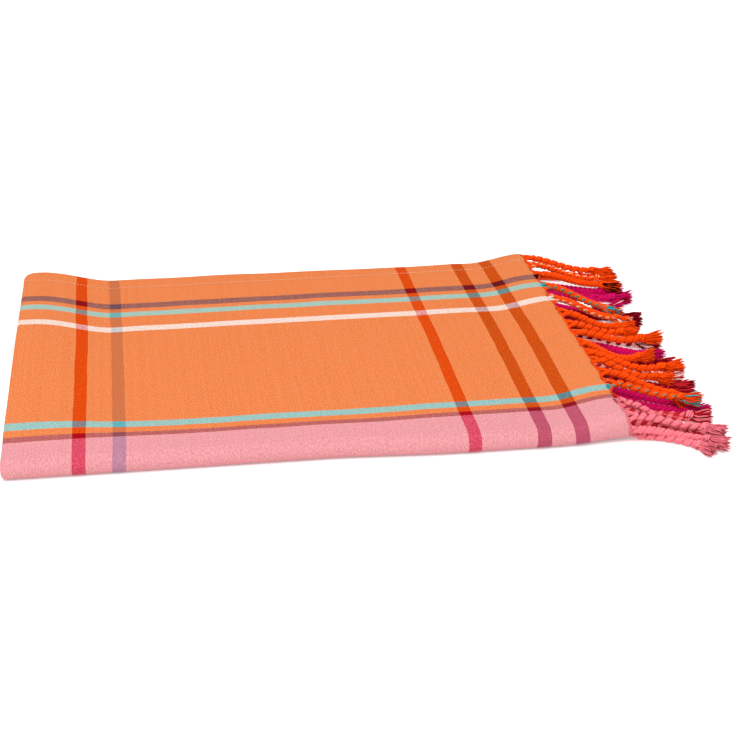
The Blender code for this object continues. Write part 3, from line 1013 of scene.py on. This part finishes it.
# %% [markdown]
# ## A tassel
#
# To finish the end, a maker takes two bundles of warp, twists each, lets the two twist back round each
# other into a cord, and ties an overhand knot. Past it the yarns fan out. So each tassel here has a fan
# of single yarns at the cloth, two legs that meet in a V, a two-ply twist, a coiled knot and a tuft of
# loose yarns. A limp cord could be simulated, but then it would lie anywhere. Each follows a traced line
# of its own length instead: it leaves along the warp, droops and comes to rest, as its solid does.

# %% The line that a cord follows
FLOOR_CLEARANCE = 0.0002
LANDED_SHARE = 0.62
LEAST_FORWARD = 0.3
LINE_STEPS = 120
CORD_PROFILE = (
    (0.00, 0.0018), (0.08, 0.0026), (0.18, 0.0033), (0.70, 0.0033), (0.75, 0.0044), (0.81, 0.0044),
    (0.85, 0.0034), (1.00, 0.0050),
)


def cord_radius(share):
    """The plain cord's radius at a share of its length."""
    for (start, first), (end, second) in zip(CORD_PROFILE, CORD_PROFILE[1:]):
        if share <= end:
            return first + (second - first) * (share - start) / (end - start)
    return CORD_PROFILE[-1][1]


def cord_line(root, half_way, tip, length, rest, scale):
    """The middle line of a cord: it leaves along the warp, droops and comes to rest, as its solid does."""
    points = []
    x, before = root.x, None
    for step in range(LINE_STEPS + 1):
        share = step / LINE_STEPS
        radius = cord_radius(share) * scale
        landed = smooth((0.0, LANDED_SHARE), share)
        y = root.y + 4 * half_way * share * (1 - share) + tip * share * (2 * share - 1)
        z = max(root.z + (rest + radius - root.z) * landed, radius + FLOOR_CLEARANCE)
        if before:
            run = length / LINE_STEPS
            forward = run ** 2 - (y - before[0]) ** 2 - (z - before[1]) ** 2
            x += math.sqrt(max(forward, (LEAST_FORWARD * run) ** 2))
        points.append(Vector((x, y, z)))
        before = (y, z)
    return points


print(f"a cord's line has {LINE_STEPS + 1} points, and its solid is {cord_radius(0.5) * 2000:.1f} mm thick")

# %% [markdown]
# ## The yarns that a tassel gathers
#
# A cord is dyed by nobody: its colours are those of the warp that it gathers, which is why one below the
# turquoise stripe has turquoise flecks. Each ply is mostly its commonest yarn, and the yarns beside it
# take on a little of that colour, since stray fibres of it cling to them.

# %% Colours round a ply
STRIPE_YARNS = ("turquoise", "aqua", "aubergine", "white")
PLY_SIDES = 8
FIRST_FLECK_SIDE = 2
MOST_FLECKS = 2
BLENDED = 0.35


def gathered_names(span, count):
    """The names of evenly spaced warp yarns between two distances across the towel."""
    step = (span[1] - span[0]) / count
    return [warp_yarn(span[0] + (number + 0.5) * step) for number in range(count)]


def gathered_colours(span, count):
    return [yarn_colour(name, loose=True) for name in gathered_names(span, count)]


def ply_colours(span, whole, extra):
    """Colours round one ply: its main yarn, and up to two flecks of a narrow stripe's yarn."""
    names = gathered_names(span, PLY_SIDES)
    plain = [name for name in names if name not in STRIPE_YARNS]
    plain = plain or [name for name in gathered_names(whole, PLY_SIDES) if name not in STRIPE_YARNS]
    plain = plain or names
    main = max(plain, key=plain.count)
    flecks = [name for name in names if name in STRIPE_YARNS]
    if extra:
        flecks.append(extra)
    seen = [main] * PLY_SIDES
    for side, fleck in enumerate(flecks[:MOST_FLECKS]):
        seen[FIRST_FLECK_SIDE + side] = fleck
    others = sorted(set(plain) - {main})
    if others:
        seen[PLY_SIDES - 1] = others[0]
    base = yarn_colour(main, loose=True)
    tints = [yarn_colour(name, loose=True) for name in seen]
    return [
        tuple(own * (1 - BLENDED) + shared * BLENDED for own, shared in zip(tint, base)) for tint in tints
    ]


print("a ply that starts at the turquoise stripe gathers", gathered_names((0.0978, 0.1250), PLY_SIDES))

# %% Legs, and the twist of two plies
EDGE_GAP = 0.0004
BACKING_WIDTH = 0.003
ROOT_ALONG = -EDGE_GAP - BACKING_WIDTH / 2
TWIST_PITCH = 0.0084
PLY_RADIUS = 0.0021
PLY_OFFSET = 0.00165
PLY_TWIST = -70.0
LEG_LENGTH = 0.013
LEG_START = 0.0004
LEG_BLEND_START = -0.002
SHORT_LEG = 0.40
FULL_LEG_SPREAD = 0.016
TWIST_BEGINS = 0.75
SWELL_RUN = (-0.004, 0.007)
FOOT_SHARE = 0.60
KNOT_SHARE = 0.78
INTO_KNOT = 0.03


def ply_path(line, foot, turned, scale, flatness):
    """Where one of the two plies runs: from its foot at the cloth, round the line, to the knot."""
    spread = abs(foot.y - line[0].y) + abs(foot.z - line[0].z)
    leg = LEG_LENGTH * min(1.0, SHORT_LEG + spread / FULL_LEG_SPREAD)
    points = []
    radii = []
    reached = 0.0
    last = int(LINE_STEPS * (KNOT_SHARE + INTO_KNOT))
    for index in range(last + 1):
        if index:
            reached += (line[index] - line[index - 1]).length
        if reached < LEG_START:
            continue
        forward, sideways, upward = heading(line, index)
        turn = WHOLE_TURN * max(0.0, reached - leg * TWIST_BEGINS) / (TWIST_PITCH * scale) + turned
        away = sideways * math.cos(turn) + upward * math.sin(turn) * flatness
        place = line[index] + away * PLY_OFFSET * scale
        straight = foot + forward * reached
        place = place.lerp(straight, 1 - smooth((LEG_BLEND_START, leg), reached))
        place.z = max(place.z, PLY_RADIUS * scale + FLOOR_CLEARANCE)
        swell = smooth(SWELL_RUN, reached)
        points.append(place)
        radii.append(PLY_RADIUS * scale * (FOOT_SHARE + (1 - FOOT_SHARE) * swell))
    radii[0] = 0.0
    radii[-1] = 0.0
    return points, radii


print(f"the two plies turn round each other every {TWIST_PITCH * 1000:.1f} mm")

# %% The fan of single yarns at the cloth
LOOSE_YARN_RADIUS = 0.00065
FAN_YARNS = 11
FAN_JOIN = 6
FAN_BENDS = (0.30, 0.68)
FAN_TIP_SHARE = 0.6
FAN_OVERRUN = 0.05


def fan(yarns, cloth_edge, span, ply_points, count):
    """Single warp yarns that leave the cloth side by side and run together into a leg."""
    joins = ply_points[min(len(ply_points) - 1, FAN_JOIN)]
    radii = [0.0, *[LOOSE_YARN_RADIUS] * 3, LOOSE_YARN_RADIUS * FAN_TIP_SHARE, 0.0]
    for number, tint in enumerate(gathered_colours(span, count)):
        across = span[0] + (number + 0.5) * (span[1] - span[0]) / count
        first = thread_point(cloth_edge[0], across)
        second = thread_point(cloth_edge[1], across)
        bends = [second.lerp(joins, share) for share in FAN_BENDS]
        past = joins + (joins - second) * FAN_OVERRUN
        tube(yarns, [first, second, *bends, joins, past], radii, THIN_SIDES, [tint])


print(2 * FAN_YARNS, "single yarns run into each cord")

# %% The knot
KNOT_RADIUS = 0.0025
KNOT_TURNS = 2.0
KNOT_LENGTH = 0.0052
KNOT_YARN_RADIUS = 0.0021
KNOT_STEPS = 34
KNOT_SIDES = 8
KNOT_TWIST = 60.0
KNOT_LEAN = 0.30
KNOT_TILT = (-0.15, 0.25)


def knot(yarns, line, tints, scale, chance):
    """Two slanting turns of the cord round itself."""
    index = int(LINE_STEPS * KNOT_SHARE)
    forward, sideways, upward = heading(line, index)
    lean = sideways * chance.uniform(-KNOT_LEAN, KNOT_LEAN) + upward * chance.uniform(*KNOT_TILT)
    axis = (forward + lean).normalized()
    first = axis.cross(upward).normalized()
    second = first.cross(axis)
    begin = chance.uniform(0, WHOLE_TURN)
    points = []
    for step in range(KNOT_STEPS + 1):
        share = step / KNOT_STEPS
        angle = begin + WHOLE_TURN * KNOT_TURNS * share
        ring = first * math.cos(angle) + second * math.sin(angle)
        point = line[index] + ring * KNOT_RADIUS * scale + axis * (share - 0.5) * KNOT_LENGTH * scale
        point.z = max(point.z, KNOT_YARN_RADIUS * scale + FLOOR_CLEARANCE)
        points.append(point)
    radii = [0.0, *[KNOT_YARN_RADIUS * scale] * (KNOT_STEPS - 1), 0.0]
    tube(yarns, points, radii, KNOT_SIDES, tints, twist=KNOT_TWIST)


print(f"a knot is {KNOT_TURNS:.0f} turns in {KNOT_LENGTH * 1000:.1f} mm")

# %% The tuft past the knot
TUFT_START_SHARE = 0.79
TUFT_RADIUS = 0.0078
TUFT_YARN_RADIUS = 0.00068
TUFT_YARNS = 60
TUFT_NECK = 0.0026
TUFT_FLARE = 0.75
TUFT_STEPS = 6
TUFT_LENGTHS = (0.74, 1.12)
TUFT_BEND = 0.0035
TUFT_SWAY = 0.0011
TUFT_SWAY_TURN = 5.5
GOLDEN_ANGLE = 2.39996


def tuft(yarns, line, tints, scale, flatness, chance, count):
    """Loose yarns past the knot, which spread and end unevenly."""
    start = int(LINE_STEPS * TUFT_START_SHARE)
    _, sideways, upward = heading(line, start)
    bend = chance.uniform(-TUFT_BEND, TUFT_BEND) * scale
    for number in range(count):
        angle = number * GOLDEN_ANGLE
        reach = math.sqrt((number + 0.5) / count)
        way = sideways * math.cos(angle) + upward * math.sin(angle) * flatness
        length = chance.uniform(*TUFT_LENGTHS)
        wave = chance.uniform(0, WHOLE_TURN)
        sway = chance.uniform(0.3, 1.0) * TUFT_SWAY * scale
        points = []
        for step in range(TUFT_STEPS + 1):
            share = step / TUFT_STEPS
            place = (1 - share) * start + share * (start + (LINE_STEPS - start) * length)
            index = min(LINE_STEPS - 1, int(place))
            middle = line[index] + (line[index + 1] - line[index]) * (place - index)
            spread = (TUFT_NECK + (TUFT_RADIUS - TUFT_NECK) * share ** TUFT_FLARE) * reach * scale
            swayed = sway * math.sin(wave + TUFT_SWAY_TURN * share)
            at = middle + way * (spread + swayed) + sideways * (bend * share + swayed * 0.6)
            at.z = max(at.z, TUFT_YARN_RADIUS * 1.5 + FLOOR_CLEARANCE)
            points.append(at)
        thick = TUFT_YARN_RADIUS * scale * chance.uniform(0.9, 1.25)
        radii = [0.0, *[thick] * (TUFT_STEPS - 2), thick * 0.8, 0.0]
        tube(yarns, points, radii, THIN_SIDES, [chance.choice(tints)])


print("a tuft has", TUFT_YARNS, "yarns")

# %% Yarns that escaped the twist
STRAY_YARNS = 10
STRAY_REACH = 0.010
STRAY_RADIUS = 0.0011
STRAY_STEPS = 12
STRAY_ENDS = (0.70, 0.92)
STRAY_BOW = (1.4, 0.08)
STRAY_WAVE = 0.0012
STRAY_WAVE_TURN = 9.0


def strays(yarns, line, span, chance):
    """Single warp yarns that escaped the twist and lie beside the cord."""
    radii = [0.0, *[STRAY_RADIUS] * (STRAY_STEPS - 1), 0.0]
    for tint in gathered_colours(span, STRAY_YARNS):
        beside = chance.uniform(-1.0, 1.0) * STRAY_REACH
        wave = chance.uniform(0, WHOLE_TURN)
        last = chance.uniform(*STRAY_ENDS)
        points = []
        for step in range(STRAY_STEPS + 1):
            share = step / STRAY_STEPS
            bow = math.sin(math.pi * min(1.0, share * STRAY_BOW[0] + STRAY_BOW[1]))
            at = line[int(LINE_STEPS * share * last)].copy()
            at.y += beside * bow + STRAY_WAVE * math.sin(wave + STRAY_WAVE_TURN * share)
            at.z = max(STRAY_RADIUS + FLOOR_CLEARANCE, at.z - STRAY_RADIUS * 2)
            points.append(at)
        tube(yarns, points, radii, THIN_SIDES, [tint])


print(STRAY_YARNS, "stray yarns lie within", STRAY_REACH, "m of a loose cord")

# %% A whole tassel
CLOTH_OVERLAP = 0.0022
TUFT_TINTS = 8


def tassel(cords, tufts, line, across, span, scale, extra, chance):
    """One tassel at the end that shows. span is the stretch of warp that it gathers."""
    halves = ((span[0], across), (across, span[1]))
    tints = []
    loose = []
    for half, turned in zip(halves, (math.pi, 0.0)):
        foot = thread_point(ROOT_ALONG, (half[0] + half[1]) / 2)
        own = ply_colours(half, span, extra)
        points, radii = ply_path(line, foot, turned, scale, flatness=1.0)
        tube(cords, points, radii, PLY_SIDES, own, twist=PLY_TWIST)
        fan(cords, (CLOTH_OVERLAP, -EDGE_GAP * 2), half, points, FAN_YARNS)
        tints += own
        loose += gathered_colours(half, TUFT_TINTS)
    knot(tufts, line, tints, scale, chance)
    tuft(tufts, line, loose, scale, 1.0, chance, TUFT_YARNS)


print("each fan starts", CLOTH_OVERLAP, "m inside the cloth's end")

# %% [markdown]
# ## The fringe that shows
#
# The tassels' roots, lengths and sways are those of the solids. The upper ones lie on the lower ones, and
# the three at the front hang out of the front fold itself. The lower ones are twisted more loosely, so
# they are bulkier, and single yarns have strayed out of them. Three cords have caught a fleck of a yarn
# that isn't in their own stretch of warp.

# %% Routes of the thirty-two cords
# Each row: place across the cloth, sideways travel half way and at the tip, length, height of rest.
UPPER_CORDS = (
    (0.016, -0.014, -0.041, 0.106, 0.0135),
    (0.040, -0.010, -0.036, 0.106, 0.0105),
    (0.073, 0.004, -0.024, 0.106, 0.0105),
    (0.106, -0.022, -0.070, 0.106, 0.0105),
    (0.144, -0.019, -0.057, 0.102, 0.0105),
    (0.187, -0.007, -0.025, 0.084, 0.0105),
    (0.220, 0.005, -0.005, 0.082, 0.0105),
    (0.240, 0.002, 0.003, 0.101, 0.0105),
    (0.267, -0.016, -0.015, 0.084, 0.0105),
    (0.293, -0.017, -0.018, 0.104, 0.0105),
    (0.312, -0.014, -0.030, 0.088, 0.0105),
    (0.344, -0.013, -0.055, 0.102, 0.0105),
    (0.368, -0.017, -0.041, 0.096, 0.0165),
    (0.416, -0.009, -0.043, 0.100, 0.0035),
    (0.443, 0.003, -0.024, 0.102, 0.0095),
    (0.453, -0.005, -0.033, 0.097, 0.0030),
    (0.464, -0.014, -0.047, 0.086, 0.0),
)
EXTRA_FLECKS = {0.040: "white", 0.368: "aqua", 0.416: "burgundy"}

# The lower cords start at an even pitch. Each row: sideways travel half way and at the tip, length.
LOWER_FIRST = 0.490
LOWER_PITCH = 0.0285
LOWER_CORDS = (
    (-0.011, -0.038, 0.086),
    (-0.017, -0.030, 0.094),
    (-0.030, -0.053, 0.104),
    (-0.034, -0.062, 0.106),
    (-0.031, -0.054, 0.107),
    (-0.033, -0.052, 0.106),
    (-0.028, -0.050, 0.104),
    (-0.029, -0.062, 0.104),
    (-0.030, -0.053, 0.107),
    (-0.021, -0.048, 0.092),
    (-0.019, -0.041, 0.102),
    (-0.030, -0.027, 0.096),
    (-0.020, -0.035, 0.106),
    (-0.026, -0.046, 0.104),
    (-0.009, -0.035, 0.104),
)
print("the cords are", min(row[3] for row in UPPER_CORDS), "to", max(row[2] for row in LOWER_CORDS), "m long")

# %% Thirty-two tassels
UPPER_SCALE = 1.07
LOWER_SCALE = 1.28
OUTER_SEED = 11


def lower_cords():
    return [
        (LOWER_FIRST + LOWER_PITCH * number, half_way, tip, length, 0.0)
        for number, (half_way, tip, length) in enumerate(LOWER_CORDS)
    ]


def spans_of(centres):
    """The stretch of warp that each tassel gathers: half way to its neighbours on both sides."""
    borders = [0.0]
    borders += [(first + second) / 2 for first, second in zip(centres, centres[1:])]
    borders.append(TOWEL_WIDTH)
    return list(zip(borders, borders[1:]))


def make_outer_fringe():
    cords, tufts = new_yarns(), new_yarns()
    rows = [*UPPER_CORDS, *lower_cords()]
    chance = random.Random(OUTER_SEED)
    for row, span in zip(rows, spans_of([row[0] for row in rows])):
        across, half_way, tip, length, rest = row
        scale = UPPER_SCALE if across < LOWER_FIRST else LOWER_SCALE
        line = cord_line(thread_point(ROOT_ALONG, across), half_way, tip, length, rest, scale)
        tassel(cords, tufts, line, across, span, scale, EXTRA_FLECKS.get(across), chance)
        if across >= LOWER_FIRST:
            strays(cords, line, span, chance)
    cords = finish_yarns(cords, "twisted_cords", SPUN_COTTON)
    tufts = finish_yarns(tufts, "knots_and_tufts", SPUN_COTTON)
    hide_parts("outer_fringe")
    return cords, tufts


outer_cords, outer_tufts = make_outer_fringe()

# %% [markdown]
# ## The tucked-in fringe
#
# The other end of the towel lies inside the fold, and its tassels are pressed flat between two plies.
# They show only as a glimpse between the plies, so they are slimmer and have fewer loose yarns.

# %% Twenty-five pressed tassels
INNER_PITCH = 0.036
INNER_LENGTH = 0.100
INNER_SCALE = 0.66
INNER_FLATNESS = 0.9
INNER_SEED = 5
INNER_EDGE = (CLOTH_LENGTH - 0.001, CLOTH_LENGTH + 0.001)
PRESSED_SIDES = 6
PRESSED_FAN = 5
PRESSED_YARNS = 12
PRESSED_TUFT = 0.55


def make_inner_fringe():
    yarns = new_yarns()
    chance = random.Random(INNER_SEED)
    start = CLOTH_LENGTH + EDGE_GAP + BACKING_WIDTH / 2
    centres = [(number + 0.5) * INNER_PITCH for number in range(round(TOWEL_WIDTH / INNER_PITCH))]
    for across, span in zip(centres, spans_of(centres)):
        line = [
            thread_point(start + INNER_LENGTH * step / LINE_STEPS, across) for step in range(LINE_STEPS + 1)
        ]
        halves = ((span[0], across), (across, span[1]))
        tints = []
        for half, turned in zip(halves, (0.0, math.pi)):
            foot = thread_point(start, (half[0] + half[1]) / 2)
            points, radii = ply_path(line, foot, turned, INNER_SCALE, INNER_FLATNESS)
            own = gathered_colours(half, PRESSED_SIDES)
            tube(yarns, points, radii, PRESSED_SIDES, own, twist=PLY_TWIST)
            fan(yarns, INNER_EDGE, half, points, PRESSED_FAN)
            tints += own
        tuft(yarns, line, tints, INNER_SCALE * PRESSED_TUFT, INNER_FLATNESS, chance, PRESSED_YARNS)
    fringe = finish_yarns(yarns, "pressed_fringe", SPUN_COTTON)
    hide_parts("inner_fringe")
    return fringe


inner_fringe = make_inner_fringe()
